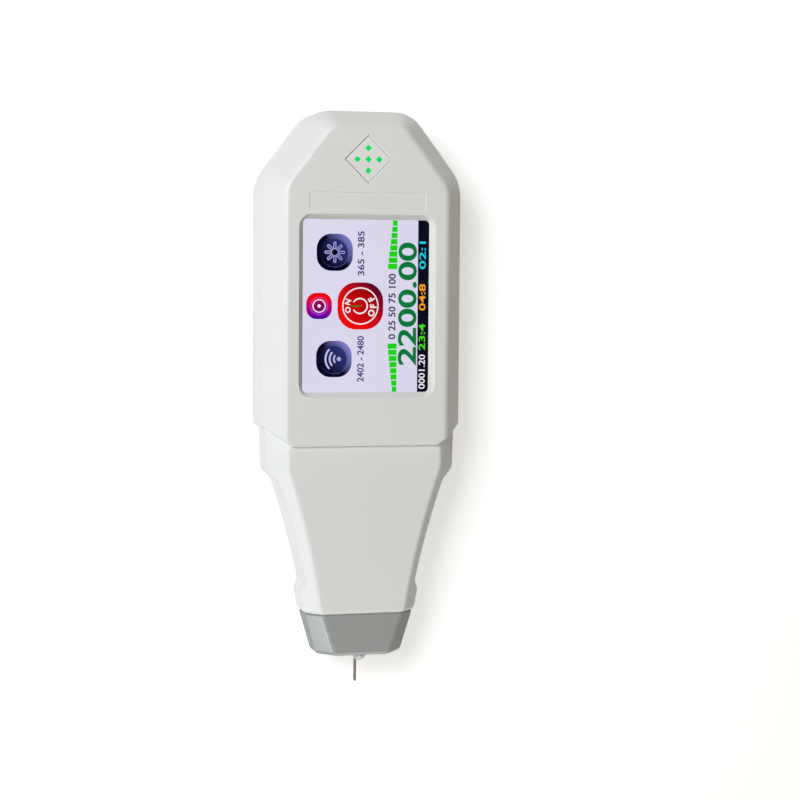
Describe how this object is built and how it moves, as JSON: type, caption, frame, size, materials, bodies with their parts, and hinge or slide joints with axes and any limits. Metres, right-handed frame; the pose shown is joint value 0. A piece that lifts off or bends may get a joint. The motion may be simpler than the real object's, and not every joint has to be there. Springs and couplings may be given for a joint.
{
  "type": "hand-held diamond tester",
  "caption": "Hand-held gem tester: faceted two-part white housing with a touch screen, tapering to a grey tip cap with a sprung test needle and a torch lamp",
  "frame": {"origin": "middle of the bounding box's bottom, on the flat back", "axes": "+Z out of the screen, +Y along the length to the top end with the needle towards -Y, +X to the right when looking at the screen"},
  "size_m": [0.0588, 0.1664, 0.026],
  "materials": {
    "cover_white": "fine satin moulding",
    "cap_grey": "fine satin moulding",
    "lens_clear": "clear",
    "foam_black": "foam",
    "display_dark": "flat display",
    "tray_black": "plain moulding",
    "flex_amber": "flexible film",
    "window_white": "translucent moulding",
    "lamp_green": "clear tinted moulding",
    "lamp_chip": "lamp chip",
    "board_green": "solder mask",
    "chip_black": "plain moulding",
    "steel": "bright",
    "brass": "turned",
    "cell_foil": "foil pouch",
    "nylon_cream": "plain moulding",
    "lead_red": "wire insulation",
    "lead_black": "wire insulation"
  },
  "bodies": {
    "housing": {"front_cover": "cover_white", "rear_cover": "cover_white", "tip_cap": "cap_grey", "touch_lens": "lens_clear", "screen_gasket": "foam_black", "lcd_panel": "display_dark", "lcd_tray": "tray_black", "lcd_tail": "flex_amber", "led_window": "window_white", "light_pipes": "lamp_green", "indicator_leds": "lamp_chip", "main_board": "board_green", "board_chips": "chip_black", "shield_can": "steel", "buzzer": "chip_black", "charging_socket": "steel", "power_switch": "chip_black", "battery": "cell_foil", "battery_pad": "foam_black", "battery_plug": "nylon_cream", "battery_leads": "lead_red", "probe_spring": "steel", "probe_sleeve": "brass", "probe_plug": "nylon_cream", "probe_bush": "nylon_cream", "probe_lead": "lead_black", "uv_led": "lens_clear", "tip_board": "board_green", "tip_lead": "lead_black", "cover_screws": "steel", "board_screws": "steel"},
    "probe": {"probe_pin": "steel", "probe_plunger": "brass"},
    "button": {"power_button": "cap_grey", "switch_plunger": "nylon_cream"}
  },
  "joints": [
    {"name": "probe_slide", "type": "slide", "parent": "housing", "child": "probe", "axis": [0, 1, 0], "range_m": [0, 0.0018], "stiffness_N_per_m": 280, "deforming": ["probe_spring"]},
    {"name": "button_press", "type": "slide", "parent": "housing", "child": "button", "axis": [-1, 0, 0], "range_m": [0, 0.0006], "stiffness_N_per_m": 900}
  ]
}
